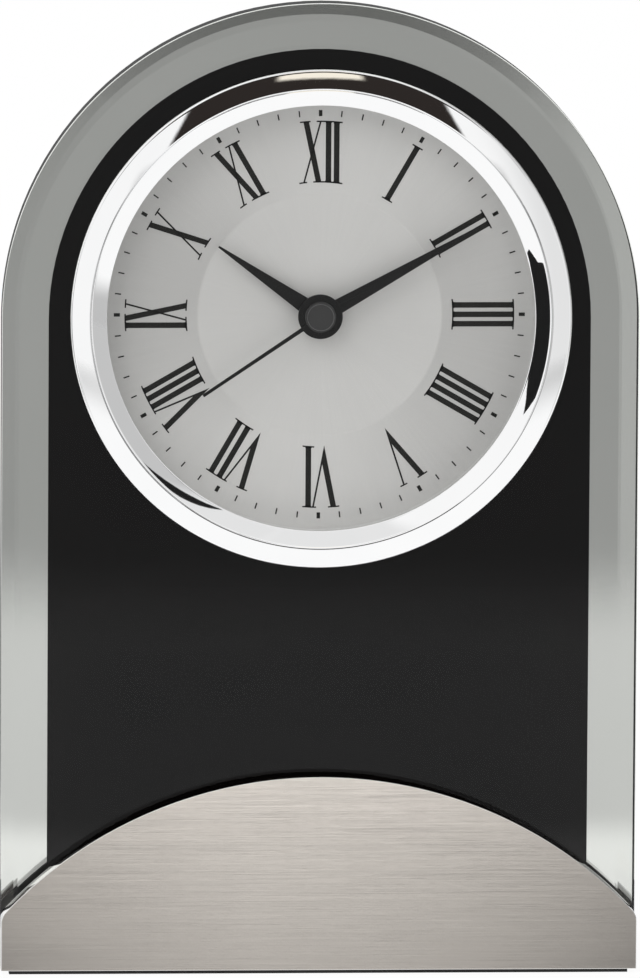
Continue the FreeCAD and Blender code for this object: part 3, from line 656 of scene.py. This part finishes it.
def wedge(foot, thick_head, thin_head):
    """A V: a thick and a thin arm, each as wide all along, whose outer edges meet in a point."""
    point = (foot, -NUMERAL_HALF - V_OVERSHOOT)
    outer_left = thick_head - THICK / 2
    outer_right = thin_head + THIN / 2
    share = (THICK + THIN) / (outer_right - outer_left)
    height = 2 * NUMERAL_HALF + V_OVERSHOOT
    crotch = (foot + THICK + (outer_left - foot) * share, point[1] + height * share)
    left = (point, crotch, (outer_left + THICK, NUMERAL_HALF), (outer_left, NUMERAL_HALF))
    right = (point, (outer_right, NUMERAL_HALF), (outer_right - THIN, NUMERAL_HALF), crotch)
    return [left, right] + bar(thick_head - 1.05, thick_head + 1.0, True)


def cross(middle):
    """An X: a thick stroke down to the right, a thin one down to the left, four serifs."""
    strokes = slanted(middle + 1.17, middle - 1.17, 1.0) + slanted(middle - 1.5, middle + 1.52, THIN)
    strokes += bar(middle - 2.25, middle - 0.35, True) + bar(middle + 0.75, middle + 2.3, True)
    return strokes + bar(middle - 2.3, middle - 0.9, False) + bar(middle + 0.2, middle + 2.2, False)


def ones(first, count, pitch=1.72, reach=1.05):
    """A run of I's under one line of serifs."""
    last = first + (count - 1) * pitch
    strokes = bar(first - reach, last + reach, True) + bar(first - reach, last + reach, False)
    for number in range(count):
        strokes += upright(first + number * pitch)
    return strokes


NUMERALS = {
    1: ones(0.0, 1),
    2: ones(-0.88, 2, 1.76),
    3: ones(-1.7, 3, 1.7),
    4: ones(-2.52, 4, 1.63, 0.9),
    5: wedge(0.0, -1.67, 2.13) + bar(1.43, 2.83, True),
    6: wedge(-0.98, -2.72, 1.0) + ones(1.85, 1) + bar(0.42, 1.1, True),
    7: wedge(-1.62, -3.75, -0.28) + ones(0.82, 2, 1.74) + bar(-0.8, -0.1, True),
    8: wedge(-1.62, -3.98, -0.42) + ones(0.55, 3, 1.6) + bar(-0.92, -0.35, True),
    9: ones(-1.88, 1) + cross(0.53),
    10: cross(0.0),
    11: cross(-0.48) + ones(2.1, 1),
    12: cross(-1.45) + ones(1.45, 2, 1.47),
}
# The dial's artist drew these a little shorter than the others.
SHORTER = {2: 0.965, 4: 0.955, 5: 0.965, 7: 0.955, 8: 0.955, 10: 0.975, 11: 0.975}


def ink(mesh, corners):
    """One printed patch: a film that stands just proud of the dial, given by its corners."""
    low = [mesh.verts.new((x * MM, (DIAL_FRONT + 0.01) * MM, z * MM)) for x, z in corners]
    high = [mesh.verts.new((x * MM, (DIAL_FRONT - INK) * MM, z * MM)) for x, z in corners]
    mesh.faces.new(high)
    mesh.faces.new(reversed(low))
    for i in range(len(corners)):
        mesh.faces.new((low[i - 1], low[i], high[i], high[i - 1]))


def on_dial(u, v, angle):
    """A point given to the right of the centre line at this angle from twelve, and by its
    distance from the dial's middle, so that rows of serifs follow the dial's round."""
    turn = math.radians(angle)
    up = math.sqrt(v * v - u * u)
    x = u * math.cos(turn) + up * math.sin(turn)
    z = up * math.cos(turn) - u * math.sin(turn)
    return x, INSERT_HEIGHT + z


print_mesh = bmesh.new()
inner = NUMERAL_RADIUS - NUMERAL_HALF
for hour, strokes in NUMERALS.items():
    size = SHORTER.get(hour, 1.0)
    for stroke in strokes:
        corners = [(u, inner + (v + NUMERAL_HALF) * size) for u, v in stroke]
        ink(print_mesh, [on_dial(u, v, hour * 30) for u, v in corners])
for minute in range(60):
    half = HOUR_MARK / 2 if minute % 5 == 0 else MINUTE_MARK / 2
    corners = [(-half, MARK_INNER), (half, MARK_INNER), (half, MARK_OUTER), (-half, MARK_OUTER)]
    ink(print_mesh, [on_dial(u, v, minute * 6) for u, v in corners])
bmesh.ops.recalc_face_normals(print_mesh, faces=print_mesh.faces)
dial_print = finish_piece("dial_print", print_mesh, "case_group", 30.0)

black_ink, f = new_finish("black_ink")
speckle = f.grain(3000.0, detail=3.0)
close(f, principled(
    f, Base_Color=f.mixed(speckle, colour(0.006, 0.006, 0.005), colour(0.012, 0.012, 0.010)),
    Roughness=0.5 + 0.15 * speckle, Specular_IOR_Level=0.15, Normal=f.bump(speckle, 0.1, 0.00003),
))
dress(black_ink, dial_print)

# ---------------------------------------------------------------------------
# The hands: stamped from brass sheet and lacquered satin black. The minute hand has a
# pressed crease and a round boss, and the seconds hand carries the cap, which has a
# greyer top and a fine turned line, whose light grey colour is a painted highlight.
# ---------------------------------------------------------------------------
CAP_RADIUS = 2.8
CAP_FRONT = -16.35

hand_black, f = new_finish("hand_black")
satin = f.grain(1800.0, detail=3.0)
_, _, radius = round_the_arbor(f)
capped = f.step(radius, CAP_RADIUS * MM, (CAP_RADIUS - 0.05) * MM)
blade_tone = f.mixed(satin, grey(0.005), grey(0.010))
cap_tone = f.mixed(satin, grey(0.042), grey(0.052))
close(f, principled(
    f, Base_Color=f.mixed(capped, blade_tone, cap_tone), Roughness=0.34 + 0.12 * satin,
    Specular_IOR_Level=0.14, Normal=f.bump(satin, 0.08, 0.00003),
))
dress(hand_black, "hour_hand", "minute_hand", "seconds_hand")

cap_line = ring_skin(
    "cap_line",
    [(2.3, CAP_FRONT + 0.02), (2.33, CAP_FRONT - 0.05), (2.4, CAP_FRONT - 0.06), (2.44, CAP_FRONT + 0.02)],
    "seconds_group", 60.0, 120,
)
# Painted highlight: the turned line on the cap is coloured light grey for the gleam on it.
painted_highlight_line, f = new_finish("painted_highlight_line")
highlight_grain = f.grain(1500.0, detail=3.0)
close(f, principled(
    f, Base_Color=f.mixed(highlight_grain, grey(0.10), grey(0.22)), Metallic=0.7, Roughness=0.3 + 0.1 * highlight_grain,
    Normal=f.bump(highlight_grain, 0.05, 0.00002),
))
dress(painted_highlight_line, cap_line)

# ---------------------------------------------------------------------------
# The plastic parts: the cup that fills the hole in the glass, the movement's case and
# cover and the setting knob, all moulded in black with a spark-eroded grain.
# ---------------------------------------------------------------------------
black_plastic, f = new_finish("black_plastic")
spark = f.grain(4200.0, detail=3.0)
flow = f.grain(90.0, detail=3.0)
close(f, principled(
    f, Base_Color=f.mixed(flow, grey(0.016), grey(0.026)), Roughness=0.42 + 0.16 * spark,
    Normal=f.bump(spark, 0.22, 0.00006),
))
dress(black_plastic, "insert_can", "movement_case", "movement_cover", "setting_knob")

# ---------------------------------------------------------------------------
# The wheels: moulded in natural acetal, each with its pinion and arbor in one piece.
# The bobbin of the coil is the same white plastic.
# ---------------------------------------------------------------------------
white_plastic, f = new_finish("white_plastic")
swirl = f.grain(300.0, detail=3.0, distortion=0.6)
close(f, principled(
    f, Base_Color=f.mixed(swirl, colour(0.66, 0.65, 0.60), colour(0.76, 0.75, 0.71)),
    Roughness=0.34 + 0.12 * swirl, Subsurface_Weight=0.1, Subsurface_Scale=0.001,
    Normal=f.bump(f.grain(3600.0, detail=2.0), 0.08, 0.00004),
))
dress(
    white_plastic, "intermediate_wheel", "seconds_wheel", "third_wheel", "centre_wheel", "cannon_pinion",
    "minute_wheel", "hour_wheel", "coil_bobbin",
)

# ---------------------------------------------------------------------------
# The motor: a soft-iron yoke and core stamped from sheet, a coil wound with enamelled
# copper wire, and a rotor whose magnet is pressed from ferrite.
# ---------------------------------------------------------------------------
soft_iron, f = new_finish("soft_iron")
scale = f.grain(800.0, detail=4.0)
close(f, principled(
    f, Base_Color=f.mixed(scale, grey(0.34), grey(0.52)), Metallic=1.0, Roughness=0.34 + 0.2 * scale,
    Normal=f.bump(scale, 0.12, 0.00005),
))
dress(soft_iron, "stator", "coil_core")

copper_wire, f = new_finish("copper_wire")
turns = f.node("ShaderNodeTexWave", {"wave_type": "BANDS", "bands_direction": "X"}, {
    "Vector": f.place(), "Scale": 1400.0, "Distortion": 0.4, "Detail": 1.0,
})
close(f, principled(
    f, Base_Color=f.mixed(turns, colour(0.30, 0.085, 0.03), colour(0.78, 0.33, 0.14)), Metallic=0.9,
    Roughness=0.3 + 0.1 * turns, Normal=f.bump(turns, 0.5, 0.00008),
))
dress(copper_wire, "coil_winding")

magnet, f = new_finish("magnet")
press = f.grain(2600.0, detail=4.0)
close(f, principled(
    f, Base_Color=f.mixed(press, grey(0.03), grey(0.07)), Metallic=0.4, Roughness=0.5 + 0.2 * press,
    Normal=f.bump(press, 0.2, 0.00005),
))
dress(magnet, "rotor")

# ---------------------------------------------------------------------------
# The circuit: a small printed board of woven glass and resin, a quartz crystal in its
# drawn metal can, and two plated spring contacts for the cell.
# ---------------------------------------------------------------------------
circuit_green, f = new_finish("circuit_green")
weave = f.node("ShaderNodeTexWave", {"wave_type": "BANDS", "bands_direction": "DIAGONAL"}, {
    "Vector": f.place(), "Scale": 900.0, "Distortion": 3.0, "Detail": 2.0,
})
tone = f.mixed(weave, colour(0.02, 0.12, 0.05), colour(0.035, 0.18, 0.075))
close(f, principled(
    f, Base_Color=tone, Roughness=0.3 + 0.15 * weave, Normal=f.bump(weave, 0.15, 0.00004),
))
dress(circuit_green, "circuit_board")

crystal_can, f = new_finish("crystal_can")
drawn = f.grain(1.0, f.stretched((2600.0, 2600.0, 120.0)), detail=3.0)
close(f, principled(
    f, Base_Color=f.mixed(drawn, grey(0.62), grey(0.8)), Metallic=1.0, Roughness=0.18 + 0.14 * drawn,
    Normal=f.bump(drawn, 0.1, 0.00004),
))
dress(crystal_can, "quartz_crystal")

contact_spring, f = new_finish("contact_spring")
rolled = f.grain(1.0, f.stretched((1800.0, 90.0, 1800.0)), detail=3.0)
close(f, principled(
    f, Base_Color=f.mixed(rolled, colour(0.60, 0.58, 0.54), colour(0.80, 0.78, 0.74)), Metallic=1.0,
    Roughness=0.22 + 0.14 * rolled, Normal=f.bump(rolled, 0.12, 0.00004),
))
dress(contact_spring, "contact_positive", "contact_negative")

# ---------------------------------------------------------------------------
# The cell: a drawn steel can in a plain shrink sleeve of two colours, with a bright nub
# and a bright rear end. It is pushed between the two contacts of the open bay.
# ---------------------------------------------------------------------------
BARE_LEFT = 1.6
BARE_RIGHT = 1.4
BAND_WIDTH = 12.5
SLEEVE_BLUR = 0.3

battery_sleeve, f = new_finish("battery_sleeve")
low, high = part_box("battery")
left_rim = low.x + BARE_LEFT * MM
right_rim = high.x - BARE_RIGHT * MM
band_edge = high.x - BAND_WIDTH * MM
blur = SLEEVE_BLUR * MM
along = f.part_of(f.place(), 0)
left_end = f.step(along, left_rim, left_rim + blur)
right_end = f.step(along, right_rim, right_rim - blur)
sleeve = left_end * right_end
band = f.step(along, band_edge, band_edge + blur)
film = f.grain(500.0, detail=3.0)
dark = f.mixed(film, colour(0.018, 0.02, 0.024), colour(0.03, 0.033, 0.04))
copper = f.mixed(film, colour(0.50, 0.23, 0.09), colour(0.60, 0.30, 0.13))
wrapped = f.mixed(band, dark, copper)
steel = f.mixed(film, grey(0.55), grey(0.70))
close(f, principled(
    f, Base_Color=f.mixed(sleeve, steel, wrapped), Metallic=1 - sleeve * (1 - 0.7 * band),
    Roughness=0.22 + 0.1 * film, Normal=f.bump(film, 0.06, 0.00005),
))
dress(battery_sleeve, "battery")

# ---------------------------------------------------------------------------
# The photographer's table and light: a white sweep under the clock that ends in front of
# it, and a soft pale studio all round. Straight ahead it has a dim gap with a dark canopy
# and a warm lamp above it, and a dark boom hangs at the upper right.
# ---------------------------------------------------------------------------
FLOOR_FRONT = -0.565
FLOOR_BACK = 4.0
FLOOR_SIDE = 3.0
NEAR_EDGE = (-0.145, -0.19)      # here the sweep turns from white to grey
FADE = (-0.4, -0.555)            # and here it thins out into nothing
FLOOR_GLOW = 1.03
GLOW_SHARE = 0.88
STEEP = (0.8, 0.7)               # only the steeper looks at the table show its glow in a mirror


def flat_sheet(name, corners):
    """One flat face in the studio."""
    mesh = bmesh.new()
    mesh.faces.new([mesh.verts.new(corner) for corner in corners])
    data = bpy.data.meshes.new(name)
    mesh.to_mesh(data)
    mesh.free()
    sheet = bpy.data.objects.new(name, data)
    bpy.context.scene.collection.objects.link(sheet)
    return sheet


table_top = flat_sheet("table_top", [
    (-FLOOR_SIDE, FLOOR_FRONT, 0), (FLOOR_SIDE, FLOOR_FRONT, 0), (FLOOR_SIDE, FLOOR_BACK, 0),
    (-FLOOR_SIDE, FLOOR_BACK, 0),
])

table_white, f = new_finish("table_white")
paper = f.grain(30.0, detail=2.0)
depth_back = f.part_of(f.place(), 1)
paper_tone = f.mixed(paper, grey(0.86), grey(0.88))
near = f.step(depth_back, *NEAR_EDGE)
matt = principled(f, Base_Color=f.mixed(near, paper_tone, grey(0.57)), Roughness=0.9)
glow = f.node("ShaderNodeEmission", inputs={"Color": grey(1.0), "Strength": FLOOR_GLOW})
seen = GLOW_SHARE * f.node("ShaderNodeLightPath", output="Is Camera Ray")
slant = f.node("ShaderNodeLayerWeight", inputs={"Blend": 0.5}, output="Facing")
mirrored = f.node("ShaderNodeLightPath", output="Is Glossy Ray") * f.step(slant, *STEEP)
shown = f.node("ShaderNodeMixShader", inputs={0: seen + mirrored, 1: matt, 2: glow})
open_edge = f.node("ShaderNodeBsdfTransparent")
close(f, f.node("ShaderNodeMixShader", inputs={0: f.step(depth_back, *FADE), 1: shown, 2: open_edge}))
dress(table_white, table_top)

# The studio's set, in degrees round it and up from its horizon: left, right, low, high and
# softness. Its own front and horizon lie a little off those of the clock.
STUDIO_TURN = 1.74
STUDIO_RISE = 2.7
SIDE_WALL = (24, 50, -60, 60, 4)
FAR_WALL = (50, 84, -60, 60, 4)
DOORWAY = (84, 125, -35, 50, 4)
GAP = (-12, 22, -17, 9, 1.5)
CANOPY = (-9.2, 18.4, 8.5, 29, 0.4)
WARM_LAMP = (0.5, 9.5, 19.7, 34, 0.5)
CEILING = (-22, 26, 42, 75, 4)
BOOM_MIDDLE = (48.8, 37.0)
BOOM_SLANT = (-0.41, 0.912)
BOOM_HALF_WIDTH = (1.9, 1.4)
BOOM_TAPER = 0.0125

world = bpy.data.worlds.new("studio")
bpy.context.scene.world = world
world.use_nodes = True
world.node_tree.nodes.clear()
f = Finish(world.node_tree)
ray = f.place("Generated")
to_front = 0 - f.part_of(ray, 1)
azimuth = f.maths("ARCTAN2", f.part_of(ray, 0), to_front) * math.degrees(1.0) + STUDIO_TURN
elevation = f.maths("ARCSINE", f.part_of(ray, 2)) * math.degrees(1.0) + STUDIO_RISE


def window(left, right, low, high, soft):
    """A patch of the studio between two azimuths and two elevations, with soft edges."""
    across = f.step(azimuth, left - soft, left + soft) * f.step(azimuth, right + soft, right - soft)
    upwards = f.step(elevation, low - soft, low + soft) * f.step(elevation, high + soft, high - soft)
    return across * upwards


studio = f.mixed(window(*SIDE_WALL), grey(1.0), grey(0.82))
studio = f.mixed(window(*FAR_WALL), studio, grey(0.58))
studio = f.mixed(window(*DOORWAY), studio, grey(0.02))
gap = f.mixed(f.step(azimuth, -3, 14), grey(0.38), grey(0.26))
gap = f.mixed(f.step(elevation, -8, -12), gap, grey(0.11))
studio = f.mixed(window(*GAP), studio, gap)
studio = f.mixed(window(*CANOPY), studio, colour(0.028, 0.023, 0.021))
studio = f.mixed(window(*WARM_LAMP), studio, colour(1.0, 0.93, 0.80))
from_boom = (azimuth - BOOM_MIDDLE[0], elevation - BOOM_MIDDLE[1])
along = from_boom[0] * BOOM_SLANT[0] + from_boom[1] * BOOM_SLANT[1]
beside = abs(from_boom[0] * BOOM_SLANT[1] - from_boom[1] * BOOM_SLANT[0])
boom = f.step(beside + BOOM_TAPER * along * along, *BOOM_HALF_WIDTH)
studio = f.mixed(boom, studio, grey(0.015))
studio = f.mixed(window(*CEILING), studio, grey(0.83))
camera_ray = f.node("ShaderNodeLightPath", output="Is Camera Ray")
glossy_ray = f.node("ShaderNodeLightPath", output="Is Glossy Ray")
transmission_ray = f.node("ShaderNodeLightPath", output="Is Transmission Ray")
mirror_ray = f.maths("MINIMUM", glossy_ray + transmission_ray, 1.0)
seen_tone = f.mixed(mirror_ray, grey(0.86), studio)
seen_tone = f.mixed(camera_ray, seen_tone, grey(1.0))
backdrop = f.node("ShaderNodeBackground", inputs={"Color": seen_tone, "Strength": 1.0})
close(f, backdrop, "ShaderNodeOutputWorld")

# A card of black felt stands to the right of the lens. Only the chrome and the glass see it.
FLAG_TURN = math.radians(-55)
FLAG_AWAY = 0.22
FLAG_START = Vector((0.04, -0.019, 0.0))
FLAG_SHAPE = (
    (-0.0142, 0.0322), (-0.0263, 0.0366), (-0.0265, 0.0897), (-0.0204, 0.1251), (-0.0066, 0.1439),
    (0.0112, 0.1595), (0.0153, 0.1423), (0.0211, 0.1224), (0.0180, 0.0896), (0.0162, 0.0564),
    (0.0043, 0.0491), (-0.0046, 0.0468), (-0.0088, 0.0408),
)

aside = Vector((math.cos(FLAG_TURN), math.sin(FLAG_TURN), 0))
outward = Vector((math.sin(FLAG_TURN), -math.cos(FLAG_TURN), 0))
foot_of_flag = FLAG_START + outward * FLAG_AWAY
flag_corners = [foot_of_flag + aside * u + Vector((0, 0, v)) for u, v in FLAG_SHAPE]
black_flag = flat_sheet("black_flag", flag_corners)
black_flag.visible_camera = False
black_flag.visible_diffuse = False
black_flag.visible_shadow = False
black_flag.visible_transmission = False
felt, f = new_finish("felt")
close(f, principled(f, Base_Color=f.mixed(f.grain(400.0), grey(0.004), grey(0.008)), Roughness=1.0))
dress(felt, black_flag)


def soft_light(name, place, aim, size, power):
    """A square diffuser turned to a point of the clock."""
    lamp = bpy.data.lights.new(name, "AREA")
    lamp.shape = "SQUARE"
    lamp.size = size
    lamp.energy = power
    lamp.use_shadow = True
    holder = bpy.data.objects.new(name, lamp)
    holder.location = place
    holder.rotation_euler = (Vector(aim) - Vector(place)).to_track_quat("-Z", "Y").to_euler()
    holder.visible_camera = False
    holder.visible_glossy = False
    holder.visible_transmission = False
    bpy.context.scene.collection.objects.link(holder)


soft_light("key_light", (-0.7, -0.9, 1.1), (0, 0, 0.09), 0.9, 5.0)

# ---------------------------------------------------------------------------
# The camera, where the photograph was taken from: a little left of the middle and a
# little above it, far away with a long lens.
# ---------------------------------------------------------------------------
CAMERA_PLACE = Vector((-0.1705, -2.8867, 0.4914))
YAW, PITCH, ROLL = (math.radians(angle) for angle in (3.4, 8.0, 0.34))
FOCAL_PIXELS = 16181
PICTURE_HEIGHT = 978.0
SENSOR = 36.0

ahead = Vector((math.sin(YAW) * math.cos(PITCH), math.cos(YAW) * math.cos(PITCH), -math.sin(PITCH)))
right = Vector((math.cos(YAW), -math.sin(YAW), 0))
up = right.cross(ahead)
right_rolled = math.cos(ROLL) * right + math.sin(ROLL) * up
up_rolled = -math.sin(ROLL) * right + math.cos(ROLL) * up
lens = bpy.data.cameras.new("camera")
lens.sensor_width = SENSOR
lens.lens = SENSOR * FOCAL_PIXELS / PICTURE_HEIGHT
lens.clip_end = 50.0
camera = bpy.data.objects.new("camera", lens)
camera.matrix_world = Matrix.Translation(CAMERA_PLACE) @ Matrix(
    (right_rolled, up_rolled, -ahead)
).transposed().to_4x4()
bpy.context.scene.collection.objects.link(camera)
bpy.context.scene.camera = camera
bpy.context.scene.view_settings.view_transform = "Standard"
